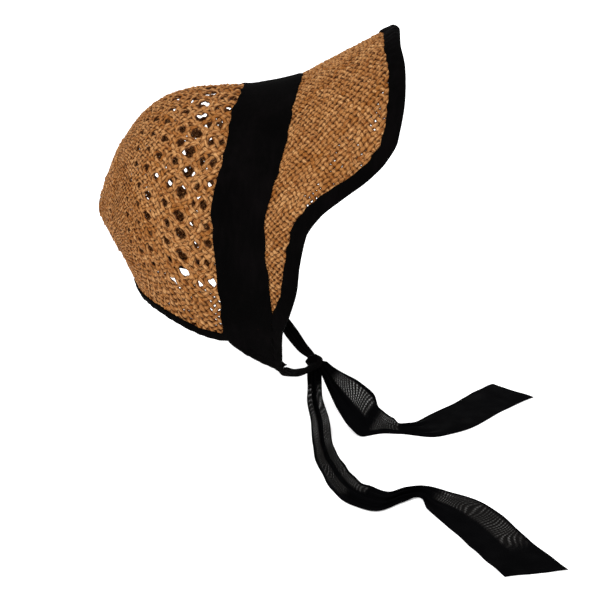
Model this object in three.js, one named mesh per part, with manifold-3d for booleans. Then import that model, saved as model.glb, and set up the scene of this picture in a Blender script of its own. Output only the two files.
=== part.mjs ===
// Woven straw bonnet with an openwork crown, a flared brim, a cloth band and tied ribbons.
// Millimetres, +Z up. The wearer looks along -Y and the wearer's left is +X.
// The origin is the top of the crown's inside, where it rests on its wearer.
import * as THREE from "three";
import { mergeVertices } from "three/addons/utils/BufferGeometryUtils.js";
import Module from "manifold-3d";

const wasm = await Module();
wasm.setup();

// Walls and clearances
const strawWall = 2.2;
const clothWall = 1.2;
const gap = 0.4;
const foldEase = 1;
const hemEase = 0.65;
const bandClearance = 1;

// Crown: the straw shell from the weave centre at the back to the band
const crownHalfWidth = 84;
const crownDepth = 121;
const seatToBandSeam = 22;
const widestBelowSeat = 89;
const weaveCentreBelowSeat = 95;
const bottomReach = 163;
const napeFrontDrop = 181;
const napeBackDrop = 158;
const napeLevelling = 70;

// Band of black cloth over the seam of crown and brim
const bandLead = 17;
const bandWidth = 46;

// Brim: reach ahead of the band and flare outwards, both at the top
const brimLength = 74;
const brimFlare = 49;
const flareUnderBand = 8;

// Folded cloth bindings
const brimBindingWidth = 11;
const napeBindingWidth = 8;

// Chin strap, knot and ribbon tails
const ribbonWidth = 42;
const ribbonWall = 1.2;
const strapWidth = 13;
const strapWall = 2.4;
const knotForward = 72;
const knotDrop = 230;
const knotWidth = 17;
const knotHeight = 13;
const knotLength = 14;
const tailFall = 62;
const shortTailReach = 134;
const longTailReach = 230;

// How finely the shells are divided
const archColumns = 34;
const closedRings = 5;
const openRings = 12;
const brimRows = 4;
const tipSteps = 5;
const strapSteps = 8;
const tailSteps = 30;

// Seams along the bonnet's arch. Angle is in degrees from the top. The band's rear edge
// lies back by a share of the band's width, and its own width, the brim's reach ahead of it
// and the brim's flare are shares of the sizes at the top.
const archTable = [
  { angle: 0, back: 0, band: 1, reach: 1, flare: 0.94 },
  { angle: 15, back: 0.07, band: 1, reach: 1.02, flare: 0.94 },
  { angle: 30, back: 0.18, band: 1.02, reach: 1.1, flare: 0.92 },
  { angle: 45, back: 0.24, band: 0.99, reach: 1.13, flare: 0.82 },
  { angle: 55, back: 0.29, band: 0.96, reach: 1.12, flare: 0.7 },
  { angle: 62, back: 0.36, band: 0.96, reach: 1.05, flare: 0.59 },
  { angle: 68, back: 0.42, band: 0.95, reach: 0.93, flare: 0.51 },
  { angle: 75, back: 0.47, band: 0.92, reach: 0.73, flare: 0.41 },
  { angle: 82, back: 0.49, band: 0.88, reach: 0.55, flare: 0.33 },
  { angle: 90, back: 0.48, band: 0.84, reach: 0.43, flare: 0.27 },
  { angle: 98, back: 0.45, band: 0.83, reach: 0.35, flare: 0.22 },
  { angle: 106, back: 0.41, band: 0.85, reach: 0.28, flare: 0.18 },
  { angle: 114, back: 0.38, band: 0.86, reach: 0.18, flare: 0.14 },
  { angle: 122, back: 0.37, band: 0.87, reach: 0.09, flare: 0.1 },
  { angle: 130, back: 0.37, band: 0.88, reach: 0.08, flare: 0.06 },
  { angle: 140, back: 0.38, band: 0.88, reach: 0.08, flare: 0.02 },
];

// How full the crown's ribs are: towards the band and towards the weave centre. Pull draws the
// rib in from the arch by a share, which fades out towards the seam.
const crownTable = [
  { angle: 0, shoulder: 4, back: 1.15, pull: 0.02 },
  { angle: 50, shoulder: 3.55, back: 1.25, pull: 0.02 },
  { angle: 90, shoulder: 2.6, back: 1.55, pull: 0 },
  { angle: 120, shoulder: 2.5, back: 1, pull: 0.05 },
  { angle: 150, shoulder: 2.6, back: 0.72, pull: 0.155 },
  { angle: 180, shoulder: 2.55, back: 0.66, pull: 0.142 },
];

// Rows of openings in the crown, each behind the band's rear edge by its distance. Size is the
// opening's width, sides is its number of corners, shift is a share of the openings' pitch.
const lacePitch = 15.5;
const laceReach = 181;
const laceTable = [
  { behind: 5.5, size: 4.2, sides: 4, shift: 0.5 },
  { behind: 13, size: 4, sides: 4, shift: 0.5 },
  { behind: 24.5, size: 8, sides: 6, shift: 0 },
  { behind: 34, size: 4.4, sides: 4, shift: 0.5 },
  { behind: 49.5, size: 4.4, sides: 4, shift: 0 },
];

// Ribbon tails from the knot to the cut end. Forward and side are shares of the tail's reach,
// height is the lower edge's as a share of the fall, width is a share of the ribbon's width.
// Heading is the direction in which the ribbon's width points, seen from above, in degrees
// from straight ahead towards the wearer's left, and lift is how far that direction rises.
const shortTail = [
  { forward: 0.054, side: 0, height: 0.905, width: 0.22, heading: 36, lift: 27 },
  { forward: 0.14, side: -0.02, height: 0.59, width: 0.5, heading: 34, lift: 40 },
  { forward: 0.22, side: -0.03, height: 0.33, width: 0.75, heading: 40, lift: 42 },
  { forward: 0.3, side: -0.05, height: 0.13, width: 0.87, heading: 44, lift: 38 },
  { forward: 0.36, side: -0.05, height: 0, width: 0.75, heading: 55, lift: 33 },
  { forward: 0.47, side: 0, height: 0.01, width: 0.57, heading: 65, lift: 12 },
  { forward: 0.55, side: -0.04, height: 0.01, width: 0.33, heading: 79, lift: 12 },
  { forward: 0.67, side: -0.03, height: 0.01, width: 0.62, heading: 104, lift: 4 },
  { forward: 0.8, side: 0.05, height: 0, width: 0.99, heading: 106, lift: 1 },
  { forward: 0.98, side: 0.2, height: 0, width: 1.14, heading: 109, lift: 0 },
  { forward: 1.18, side: 0.43, height: 0, width: 1.1, heading: 117, lift: 0 },
  { forward: 1.36, side: 0.59, height: 0, width: 1.05, heading: 138, lift: 0 },
];
const longTail = [
  { forward: 0, side: 0, height: 0.88, width: 0.3, heading: 29, lift: 0 },
  { forward: 0, side: -0.03, height: 0.55, width: 0.35, heading: 24, lift: -3 },
  { forward: 0.02, side: -0.09, height: 0.27, width: 0.43, heading: 27, lift: -6 },
  { forward: 0.03, side: -0.17, height: 0.05, width: 0.47, heading: 31, lift: -9 },
  { forward: 0.06, side: -0.34, height: 0.01, width: 0.48, heading: 7, lift: 14 },
  { forward: 0.1, side: -0.48, height: 0.01, width: 0.52, heading: 13, lift: 19 },
  { forward: 0.15, side: -0.56, height: 0.01, width: 0.56, heading: 44, lift: 20 },
  { forward: 0.22, side: -0.6, height: 0.01, width: 0.51, heading: 55, lift: 22 },
  { forward: 0.29, side: -0.55, height: 0.01, width: 0.38, heading: 75, lift: 22 },
  { forward: 0.35, side: -0.52, height: 0.01, width: 0.32, heading: 68, lift: 13 },
  { forward: 0.41, side: -0.57, height: 0, width: 0.73, heading: 48, lift: 3 },
  { forward: 0.47, side: -0.63, height: 0, width: 1.04, heading: 46, lift: 1 },
  { forward: 0.53, side: -0.73, height: 0, width: 1.16, heading: 44, lift: 0 },
  { forward: 0.59, side: -0.87, height: 0, width: 1.05, heading: 30, lift: 0 },
  { forward: 0.66, side: -1.01, height: 0, width: 1.11, heading: 11, lift: 0 },
];

// Chin strap from the bonnet's tip to the knot: place along it, sag and width as shares
const strapTable = [
  { along: 0.046, sag: 0, width: 1, heading: 0, lift: 20 },
  { along: 0.25, sag: 0.3, width: 0.95, heading: 0, lift: 30 },
  { along: 0.55, sag: 0.35, width: 0.8, heading: 0, lift: 50 },
  { along: 0.85, sag: 0.1, width: 0.6, heading: 0, lift: 75 },
  { along: 0.995, sag: 0, width: 0.5, heading: 0, lift: 85 },
];

const straw = { color: 0xb8874a, roughness: 0.75, metalness: 0 };
const blackCloth = { color: 0x121214, roughness: 0.9, metalness: 0 };
const sheerRibbon = { color: 0x1c1c1f, roughness: 0.6, metalness: 0 };

const radians = THREE.MathUtils.degToRad;
const degrees = THREE.MathUtils.radToDeg;

// A table column read smoothly between its rows, with rows ordered by the key column. It never
// overshoots a row, so a column that stays level in the table stays level between its rows.
function readTable(table, key, at, column) {
  const last = table.length - 1;
  let row = 0;
  while (row < last - 1 && at > table[row + 1][key]) row += 1;
  const rate = (i) => (table[i + 1][column] - table[i][column]) / (table[i + 1][key] - table[i][key]);
  const slope = (i) => {
    if (i === 0) return rate(0);
    if (i === last) return rate(last - 1);
    const product = rate(i - 1) * rate(i);
    return product > 0 ? (2 * product) / (rate(i - 1) + rate(i)) : 0;
  };
  const low = table[row];
  const high = table[row + 1];
  const span = high[key] - low[key];
  const s = THREE.MathUtils.clamp((at - low[key]) / span, 0, 1);
  const rise = high[column] - low[column];
  const a = slope(row) * span - rise;
  const b = rise - slope(row + 1) * span;
  return low[column] + s * rise + s * (1 - s) * (a * (1 - s) + b * s);
}

// Angle from the top in degrees, the same on both sides of the arch
const fromTop = (angle) => degrees(Math.acos(Math.cos(angle)));
const arch = (angle, column) => readTable(archTable, "angle", fromTop(angle), column);
const rib = (angle, column) => readTable(crownTable, "angle", fromTop(angle), column);

// Places along the arch, as distances ahead of the origin
const bandRear = (angle) => bandLead - arch(angle, "back") * bandWidth;
const bandFront = (angle) => bandRear(angle) + arch(angle, "band") * bandWidth;
const brimEdge = (angle) => bandFront(angle) + arch(angle, "reach") * brimLength;
const seamLead = seatToBandSeam - bandLead;
const seam = (angle) => bandRear(angle) + seamLead;
const weaveCentre = seatToBandSeam - crownDepth;

// The bonnet's arch at one angle, with room outwards for the brim's flare.
function archPoint(angle, forward, outward) {
  const up = Math.cos(angle);
  const reach = up > 0 ? widestBelowSeat : bottomReach;
  return new THREE.Vector3(
    (crownHalfWidth + outward) * Math.sin(angle),
    -forward,
    -widestBelowSeat + reach * up + outward * up,
  );
}

// Inner face of the crown: a rib from the weave centre to the seam at each angle.
function crownSkin(angle, forward) {
  const depth = seam(angle) - weaveCentre;
  const along = THREE.MathUtils.clamp((forward - weaveCentre) / depth, 0, 1);
  const open = 1 - Math.pow(1 - along, rib(angle, "shoulder"));
  const spread = Math.pow(open, 1 / rib(angle, "back"));
  const end = archPoint(angle, forward, 0);
  const rest = new THREE.Vector3(0, -forward, -weaveCentreBelowSeat);
  const pull = rib(angle, "pull") * (1 - along);
  return rest.lerp(end, spread * (1 - pull));
}

// Inner face of the brim, which also carries the band over the seam.
function brimSkin(angle, forward) {
  const flare = arch(angle, "flare");
  const underBand = (forward - seam(angle)) / (bandFront(angle) - seam(angle));
  const beyond = (forward - bandFront(angle)) / (brimEdge(angle) - bandFront(angle));
  const first = flareUnderBand * flare * THREE.MathUtils.clamp(underBand, 0, 1) ** 1.5;
  const second = (brimFlare - flareUnderBand) * flare * Math.max(beyond, 0);
  return archPoint(angle, forward, first + second);
}

// A point of a skin moved out along the skin's own normal.
function offSkin(skin, angle, forward, distance) {
  const da = radians(1.5);
  const df = 0.8;
  const nearPole = forward - weaveCentre < 2 * df && skin === crownSkin;
  if (nearPole) return skin(angle, forward).add(new THREE.Vector3(0, distance, 0));
  const across = skin(angle + da, forward).sub(skin(angle - da, forward));
  const ahead = skin(angle, forward + df).sub(skin(angle, forward - df));
  const normal = ahead.cross(across).normalize();
  return skin(angle, forward).addScaledVector(normal, distance);
}

// Height of the straw's lower edge under the crown
function napeHeight(forward) {
  const share = THREE.MathUtils.smoothstep(-forward, -seamLead, napeLevelling);
  return THREE.MathUtils.lerp(-napeFrontDrop, -napeBackDrop, share);
}

// Share of the way from the weave centre to the seam, as a distance ahead of the origin
const crownForward = (angle, along) => THREE.MathUtils.lerp(weaveCentre, seam(angle), along);

// Halves an interval until the test changes inside it
function whereItChanges(low, high, isBefore) {
  for (let i = 0; i < 40; i += 1) {
    const middle = (low + high) / 2;
    if (isBefore(middle)) low = middle;
    else high = middle;
  }
  return (low + high) / 2;
}

const isAboveNape = (angle, along) => {
  const forward = crownForward(angle, along);
  return crownSkin(angle, forward).z > napeHeight(forward);
};

// Where the crown's lower edge crosses the middle of the back, and its end angle further on
const napeAlong = whereItChanges(0, 1, (along) => isAboveNape(Math.PI, along));
const napeEnd = (along) =>
  along <= napeAlong ? Math.PI : whereItChanges(radians(90), Math.PI, (angle) => isAboveNape(angle, along));

// The lower end of the seam, and the brim's end angle from there to the tip
const cornerAngle = napeEnd(1);
const cornerForward = seam(cornerAngle);
const tipAngle = radians(139);
const tipForward = brimEdge(tipAngle);

function brimEnd(forward) {
  const share = THREE.MathUtils.clamp((forward - cornerForward) / (tipForward - cornerForward), 0, 1);
  return THREE.MathUtils.lerp(cornerAngle, tipAngle, share ** 0.8);
}

// Even shares from 0 to 1, and columns from one end of the arch to the other. The columns lie
// closer together towards the lower ends.
const shares = (count) => Array.from({ length: count + 1 }, (_, i) => i / count);
const columns = shares(archColumns).map((share) => 2 * share - 1);
const columnCrowding = 0.7;
function spreadColumn(column, end) {
  const shift = Math.max(Math.PI - end, 1e-6);
  const crowd = Math.abs(column) ** (columnCrowding * Math.PI / shift);
  return Math.sign(column) * (Math.abs(column) * Math.PI - shift * crowd);
}

// A closed wall from rows of paired points, each with an inner and an outer side
function wall(rows) {
  const positions = [];
  const indices = [];
  const width = rows[0].length;
  for (const row of rows) {
    for (const pair of row) positions.push(...pair.outer.toArray(), ...pair.inner.toArray());
  }
  const at = (i, j, side) => 2 * (i * width + j) + side;
  const quad = (a, b, c, d) => indices.push(a, c, b, a, d, c);
  const mirroredQuad = (a, b, c, d) => indices.push(b, a, d, b, d, c);
  const lastRow = rows.length - 1;
  const lastColumn = width - 1;
  for (let j = 0; j < lastColumn; j += 1) {
    const face = j < lastColumn / 2 ? mirroredQuad : quad;
    const backFace = j < lastColumn / 2 ? quad : mirroredQuad;
    for (let i = 0; i < lastRow; i += 1) {
      face(at(i, j, 0), at(i, j + 1, 0), at(i + 1, j + 1, 0), at(i + 1, j, 0));
      backFace(at(i, j + 1, 1), at(i, j, 1), at(i + 1, j, 1), at(i + 1, j + 1, 1));
    }
    quad(at(0, j, 1), at(0, j + 1, 1), at(0, j + 1, 0), at(0, j, 0));
    quad(at(lastRow, j, 0), at(lastRow, j + 1, 0), at(lastRow, j + 1, 1), at(lastRow, j, 1));
  }
  for (let i = 0; i < lastRow; i += 1) {
    quad(at(i, 0, 0), at(i + 1, 0, 0), at(i + 1, 0, 1), at(i, 0, 1));
    quad(at(i, lastColumn, 1), at(i + 1, lastColumn, 1), at(i + 1, lastColumn, 0), at(i, lastColumn, 0));
  }
  return solidGeometry(positions, indices);
}

// Vertices merged, and faces dropped that are empty or lie back to back
function solidGeometry(positions, indices) {
  const loose = new THREE.BufferGeometry();
  loose.setAttribute("position", new THREE.Float32BufferAttribute(positions, 3));
  loose.setIndex(indices);
  const merged = mergeVertices(loose, 1e-3);
  const faces = new Map();
  const index = merged.index.array;
  for (let i = 0; i < index.length; i += 3) {
    const face = [index[i], index[i + 1], index[i + 2]];
    if (new Set(face).size < 3) continue;
    const name = [...face].sort((a, b) => a - b).join();
    if (faces.has(name)) faces.delete(name);
    else faces.set(name, face);
  }
  merged.setIndex([...faces.values()].flat());
  return merged;
}

// A closed tube of sections, each a ring of points, with flat ends
function loft(sections) {
  const positions = [];
  const indices = [];
  const sides = sections[0].length;
  for (const section of sections) for (const point of section) positions.push(...point.toArray());
  const at = (i, j) => i * sides + (j % sides);
  for (let i = 0; i < sections.length - 1; i += 1) {
    for (let j = 0; j < sides; j += 1) {
      indices.push(at(i, j), at(i, j + 1), at(i + 1, j + 1));
      indices.push(at(i, j), at(i + 1, j + 1), at(i + 1, j));
    }
  }
  const last = sections.length - 1;
  const half = sides / 2;
  for (let j = 0; j < half - 1; j += 1) {
    const [a, b, c, d] = [j, j + 1, sides - 2 - j, sides - 1 - j];
    indices.push(at(0, a), at(0, d), at(0, c), at(0, a), at(0, c), at(0, b));
    indices.push(at(last, a), at(last, b), at(last, c), at(last, a), at(last, c), at(last, d));
  }
  return solidGeometry(positions, indices);
}

function toManifold(geometry) {
  const vertProperties = new Float32Array(geometry.getAttribute("position").array);
  const triVerts = new Uint32Array(geometry.index.array);
  return new wasm.Manifold(new wasm.Mesh({ numProp: 3, vertProperties, triVerts }));
}

function fromManifold(solid) {
  const mesh = solid.getMesh();
  const geometry = new THREE.BufferGeometry();
  geometry.setAttribute("position", new THREE.BufferAttribute(mesh.vertProperties, 3));
  geometry.setIndex(new THREE.BufferAttribute(mesh.triVerts, 1));
  return geometry;
}

// Shares along the crown's ribs: closed rings round the weave centre, then rows open at the nape
const closedAlongs = shares(closedRings).map((share) => napeAlong * share ** 1.3);
const openAlongs = (count) =>
  shares(count).slice(1).map((share) => THREE.MathUtils.lerp(napeAlong, 1, share ** 2.3));

function crownShell() {
  const alongs = [...closedAlongs, ...openAlongs(openRings)];
  const rows = alongs.map((along) => columns.map((column) => {
    const angle = spreadColumn(column, napeEnd(along));
    const forward = crownForward(angle, along);
    return {
      inner: offSkin(crownSkin, angle, forward, 0),
      outer: offSkin(crownSkin, angle, forward, strawWall),
    };
  }));
  return wall(rows);
}

// The place on the crown at one angle whose distance behind the band, along the straw, is given
function behindBand(angle, distance) {
  const step = 0.5;
  let forward = bandRear(angle);
  let travelled = 0;
  while (travelled < distance) {
    travelled += crownSkin(angle, forward).distanceTo(crownSkin(angle, forward - step));
    forward -= step;
  }
  return forward;
}

// One opening: a prism through the wall, square to it
function lacePrism(angle, forward, size, sides) {
  const centre = offSkin(crownSkin, angle, forward, strawWall / 2);
  const outside = offSkin(crownSkin, angle, forward, strawWall * 2);
  const axis = outside.clone().sub(centre).normalize();
  const turn = new THREE.Quaternion().setFromUnitVectors(new THREE.Vector3(0, 1, 0), axis);
  const prism = new THREE.CylinderGeometry(size / 2, size / 2, strawWall * 3, sides);
  prism.applyQuaternion(turn);
  prism.translate(...centre.toArray());
  prism.deleteAttribute("normal");
  prism.deleteAttribute("uv");
  return toManifold(mergeVertices(prism, 1e-4));
}

// Angles at even steps along the arch, measured both ways from the top
function archSteps(pitch, shift, reach) {
  const step = radians(0.25);
  const angles = shift === 0 ? [0] : [];
  let [angle, travelled, next] = [0, 0, shift === 0 ? pitch : pitch * shift];
  while (next <= reach) {
    travelled += archPoint(angle, 0, 0).distanceTo(archPoint(angle + step, 0, 0));
    angle += step;
    if (travelled < next) continue;
    angles.push(angle, -angle);
    next += pitch;
  }
  return angles;
}

function crownGeometry() {
  const prisms = laceTable.flatMap((row) => archSteps(lacePitch, row.shift, laceReach)
    .map((angle) => lacePrism(angle, behindBand(angle, row.behind), row.size, row.sides)));
  const crown = toManifold(crownShell()).subtract(wasm.Manifold.union(prisms));
  return fromManifold(crown.simplify(0.05));
}

// How much longer a width is along the arch lines where the brim's edge runs aslant
function edgeSlant(angle) {
  const da = radians(2);
  const before = brimSkin(angle - da, brimEdge(angle - da));
  const after = brimSkin(angle + da, brimEdge(angle + da));
  const ahead = Math.abs(after.y - before.y);
  const round = Math.hypot(after.x - before.x, after.z - before.z);
  return Math.hypot(1, ahead / round);
}

// Angle of a column at a place along the arch, with the lower ends trimmed by a width
const bottomRadius = (crownHalfWidth + bottomReach) / 2;
function columnAngle(column, placeOf, trim) {
  let end = cornerAngle;
  for (let i = 0; i < 4; i += 1) end = brimEnd(placeOf(end));
  return spreadColumn(column, end - trim / bottomRadius);
}

// A wall over the arch through a list of places, each a distance ahead for every angle
function archWall(places, low, high, ends) {
  const rows = places.map((placeOf) => {
    const inner = columns.map((column) => columnAngle(column, placeOf, bandTrim));
    const outerEnds = ends ? [columnAngle(1, placeOf, 0)] : [];
    const angles = [...outerEnds.map((angle) => -angle), ...inner, ...outerEnds];
    return angles.map((angle) => ({
      inner: offSkin(brimSkin, angle, placeOf(angle), low),
      outer: offSkin(brimSkin, angle, placeOf(angle), high),
    }));
  });
  return wall(rows);
}

// The band stops short of the bindings, at its lower ends and where the brim is narrow
const bottomSlope = bottomRadius * (tipAngle - cornerAngle) / (tipForward - cornerForward);
const bandTrim = (napeBindingWidth + gap) * Math.hypot(1, bottomSlope);
const bindingInner = (angle) => brimEdge(angle) - brimBindingWidth * edgeSlant(angle);
const bandEdge = (angle) => Math.min(bandFront(angle), bindingInner(angle) - bandClearance);
const bandMiddle = (angle) => (seam(angle) + bandEdge(angle)) / 2;

function brimGeometry() {
  const strawEdge = (angle) => brimEdge(angle) - (clothWall + gap) * edgeSlant(angle);
  const ahead = shares(brimRows).slice(1).map((share) => (angle) =>
    THREE.MathUtils.lerp(bandEdge(angle), strawEdge(angle), share));
  const start = (angle) => seam(angle) + gap;
  return archWall([start, bandMiddle, bandEdge, ...ahead], 0, strawWall, true);
}

function bandGeometry() {
  const low = strawWall + gap;
  return archWall([bandRear, seam, bandMiddle, bandEdge], low, low + clothWall, false);
}

// Section of a binding folded over an edge: a list of reaches in from the edge and heights
// over the straw's inner face
function foldedSection(width) {
  const inside = -foldEase - clothWall;
  const outside = strawWall + foldEase + clothWall;
  return [
    { reach: width, height: outside },
    { reach: width / 2, height: outside },
    { reach: 0, height: outside },
    { reach: 0, height: inside },
    { reach: width / 2, height: inside },
    { reach: width, height: inside },
    { reach: width, height: -foldEase },
    { reach: width / 2, height: -foldEase },
    { reach: clothWall, height: -foldEase },
    { reach: clothWall, height: strawWall + foldEase },
    { reach: width / 2, height: strawWall + foldEase },
    { reach: width, height: strawWall + foldEase },
  ];
}

function brimBindingGeometry() {
  const sections = columns.map((column) =>
    foldedSection(brimBindingWidth).map(({ reach, height }) => {
      const placeOf = (angle) => brimEdge(angle) - reach * edgeSlant(angle);
      const angle = columnAngle(column, placeOf, bandTrim);
      return offSkin(brimSkin, angle, placeOf(angle), height);
    }));
  return loft(sections);
}

// Stations of the nape binding: the brim's lower end, the nape and the other side's lower end
function napeBindingStations() {
  const brimEnds = shares(tipSteps).slice(1).map((share) => {
    const forward = THREE.MathUtils.lerp(cornerForward, tipForward, share);
    return { skin: brimSkin, angle: brimEnd(forward), forward };
  });
  const nape = openAlongs(openRings).map((along) => {
    const angle = napeEnd(along);
    return { skin: crownSkin, angle, forward: crownForward(angle, along) };
  });
  const back = { skin: crownSkin, angle: Math.PI, forward: crownForward(Math.PI, napeAlong) };
  const leftSide = [...nape, ...brimEnds];
  const rightSide = leftSide.map((station) => ({ ...station, angle: -station.angle }));
  return [...leftSide.reverse(), back, ...rightSide];
}

// A point in from the edge by a reach, square to the edge and along the skin, at a height
function inFromEdge({ skin, angle, forward }, edgeDirection, reach, height) {
  const da = 0.01;
  const df = 0.5;
  const across = skin(angle + da, forward).sub(skin(angle - da, forward)).divideScalar(2 * da);
  const ahead = skin(angle, forward + df).sub(skin(angle, forward - df)).divideScalar(2 * df);
  const normal = ahead.clone().cross(across).normalize();
  const inward = normal.clone().cross(edgeDirection).normalize().multiplyScalar(reach);
  const aa = across.dot(across);
  const ff = ahead.dot(ahead);
  const af = across.dot(ahead);
  const ia = inward.dot(across);
  const jf = inward.dot(ahead);
  const turn = (ia * ff - jf * af) / (aa * ff - af * af);
  const move = (jf * aa - ia * af) / (aa * ff - af * af);
  return offSkin(skin, angle + turn, forward + move, height);
}

function napeBindingGeometry() {
  const stations = napeBindingStations();
  const places = stations.map((s) => s.skin(s.angle, s.forward));
  const sections = stations.map((station, i) => {
    const before = places[Math.max(i - 1, 0)];
    const after = places[Math.min(i + 1, places.length - 1)];
    const edgeDirection = after.clone().sub(before).normalize();
    return foldedSection(napeBindingWidth).map(({ reach, height }) =>
      inFromEdge(station, edgeDirection, reach - clothWall - hemEase, height));
  });
  return loft(sections);
}

// A flat strip through stations, each with its middle, the direction of its width and its size
function strip(stations, thickness) {
  const sections = stations.map((station, i) => {
    const before = stations[Math.max(i - 1, 0)].middle;
    const after = stations[Math.min(i + 1, stations.length - 1)].middle;
    const along = after.clone().sub(before).normalize();
    const face = along.clone().cross(station.across).normalize().multiplyScalar(thickness / 2);
    const half = station.across.clone().multiplyScalar(station.width / 2);
    return [1, 0, -1, -1, 0, 1].map((side, j) => station.middle.clone()
      .addScaledVector(half, side)
      .addScaledVector(face, j < 3 ? 1 : -1));
  });
  return loft(sections);
}

// Stations between a table's rows, read smoothly by each row's place in the table
function smoothStations(table, steps, toStation) {
  const rows = table.map((row, i) => ({ ...row, place: i }));
  const read = (at) => Object.fromEntries(
    Object.keys(table[0]).map((column) => [column, readTable(rows, "place", at, column)]));
  const last = table.length - 1;
  return Array.from({ length: steps + 1 }, (_, i) => toStation(read((i / steps) * last)));
}

// A direction from its heading, seen from above, and its lift
function direction(heading, lift) {
  const level = Math.cos(radians(lift));
  const side = Math.sin(radians(heading)) * level;
  const forward = Math.cos(radians(heading)) * level;
  return new THREE.Vector3(side, -forward, Math.sin(radians(lift)));
}

const knotCentre = new THREE.Vector3(0, -knotForward, -knotDrop);

function tailGeometry(table, reach) {
  const floor = -knotDrop - tailFall;
  const halfRise = (row) => Math.abs(Math.sin(radians(row.lift))) * row.width * ribbonWidth / 2;
  const stations = smoothStations(table, tailSteps, (row) => ({
    middle: new THREE.Vector3(
      row.side * reach,
      -knotForward - row.forward * reach,
      floor + ribbonWall / 2 + row.height * tailFall + halfRise(row),
    ),
    across: direction(row.heading, row.lift),
    width: row.width * ribbonWidth,
  }));
  return strip(stations, ribbonWall);
}

// One side of the chin strap, from the bonnet's lower tip under the jaw to the knot
function strapGeometry(side) {
  const tip = brimSkin(tipAngle, tipForward);
  const knotSide = new THREE.Vector3(knotWidth / 2 + gap, -knotForward, -knotDrop);
  const stations = smoothStations(strapTable, strapSteps, (row) => {
    const middle = tip.clone().lerp(knotSide, row.along);
    middle.z -= row.sag * strapWidth;
    return { middle, across: direction(row.heading, row.lift), width: row.width * strapWidth };
  });
  for (const { middle, across } of stations) {
    middle.x *= side;
    across.x *= side;
  }
  if (side < 0) stations.reverse();
  return strip(stations, strapWall);
}

function knotGeometry() {
  const knot = new THREE.SphereGeometry(0.5, 12, 8);
  knot.scale(knotWidth, knotLength, knotHeight);
  knot.translate(...knotCentre.toArray());
  return solidGeometry([...knot.getAttribute("position").array], [...knot.index.array]);
}

const group = new THREE.Group();
function addPiece(name, geometry, finish) {
  const mesh = new THREE.Mesh(geometry, new THREE.MeshStandardMaterial(finish));
  mesh.name = name;
  group.add(mesh);
}

addPiece("crown", crownGeometry(), straw);
addPiece("brim", brimGeometry(), straw);
addPiece("band", bandGeometry(), blackCloth);
addPiece("brim_binding", brimBindingGeometry(), blackCloth);
addPiece("nape_binding", napeBindingGeometry(), blackCloth);
addPiece("chin_strap_right", strapGeometry(-1), blackCloth);
addPiece("chin_strap_left", strapGeometry(1), blackCloth);
addPiece("knot", knotGeometry(), blackCloth);
addPiece("tail_short", tailGeometry(shortTail, shortTailReach), sheerRibbon);
addPiece("tail_long", tailGeometry(longTail, longTailReach), sheerRibbon);

export default group;
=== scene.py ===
# The woven straw bonnet as it looks: raffia strands, black cloth and sheer ribbon.
# Shapes are worked out in millimetres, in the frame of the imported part, and made in metres.
import math

import bmesh
import bpy
import numpy as np
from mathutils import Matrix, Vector


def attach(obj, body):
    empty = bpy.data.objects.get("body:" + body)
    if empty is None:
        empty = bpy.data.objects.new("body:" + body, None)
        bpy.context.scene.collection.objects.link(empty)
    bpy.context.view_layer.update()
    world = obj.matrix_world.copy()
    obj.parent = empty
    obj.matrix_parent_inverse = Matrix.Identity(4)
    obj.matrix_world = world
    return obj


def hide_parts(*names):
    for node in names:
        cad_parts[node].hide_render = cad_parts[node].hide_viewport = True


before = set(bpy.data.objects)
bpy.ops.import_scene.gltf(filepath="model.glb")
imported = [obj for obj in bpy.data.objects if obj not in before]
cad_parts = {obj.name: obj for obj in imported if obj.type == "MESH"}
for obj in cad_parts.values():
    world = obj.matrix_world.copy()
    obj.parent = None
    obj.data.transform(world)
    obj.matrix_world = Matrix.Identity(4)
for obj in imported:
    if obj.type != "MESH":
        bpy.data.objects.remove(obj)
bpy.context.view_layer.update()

MM = 0.001

# Sizes of the bonnet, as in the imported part
STRAW_WALL = 2.2
CLOTH_WALL = 1.2
GAP = 0.4
CROWN_HALF_WIDTH = 84
WIDEST_BELOW_SEAT = 89
WEAVE_CENTRE_BELOW_SEAT = 95
BOTTOM_REACH = 163
WEAVE_CENTRE = -99
NAPE_FRONT_DROP = 181
NAPE_BACK_DROP = 158
NAPE_LEVELLING = 70
BAND_LEAD = 17
BAND_WIDTH = 46
SEAM_LEAD = 5
BRIM_LENGTH = 74
BRIM_FLARE = 49
FLARE_UNDER_BAND = 8
BRIM_BINDING_WIDTH = 11
NAPE_BINDING_WIDTH = 8
BAND_CLEARANCE = 1
TIP_ANGLE = math.radians(139)
RIBBON_WIDTH = 42
STRAP_WIDTH = 13
KNOT_CENTRE = np.array([0, -72, -230])
KNOT_SIZE = np.array([17, 14, 13])
TAIL_FALL = 62
SHORT_TAIL_REACH = 134
LONG_TAIL_REACH = 230
FLOOR = -292

# Raffia strands: width and thickness of a full strand, and how they cross
STRAND_WIDTH = 3.3
STRAND_THICKNESS = 1.75
STRAND_SIDES = 6
SMALLEST_STRAND = 0.42
LARGEST_STRAND = 1.2
CROSSING_LIFT = 0.47
STRAND_TWIST = 22
SAMPLES_PER_CROSSING = 3
CROWN_STRANDS = 104
BRIM_STRANDS = 120
FINEST_PITCH = 1.9
TIP_STRAW_END = math.radians(118)
TIP_STRAW_CLEAR = 9
SLACKNESS = 0.22
SLACKNESS_SPREAD = 9000
WEAVE_SEED = 7
HANDS = ((1, "rising"), (-1, "falling"))

# Width of the strands as a share of their pitch, and how strongly painted shade darkens their inner
# side
CROWN_COVER = 0.87
CENTRE_COVER = 0.94
BRIM_COVER = 1.04
CROWN_INNER_PAINTED_SHADE = 0.84
BRIM_INNER_PAINTED_SHADE = 0.3

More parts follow.
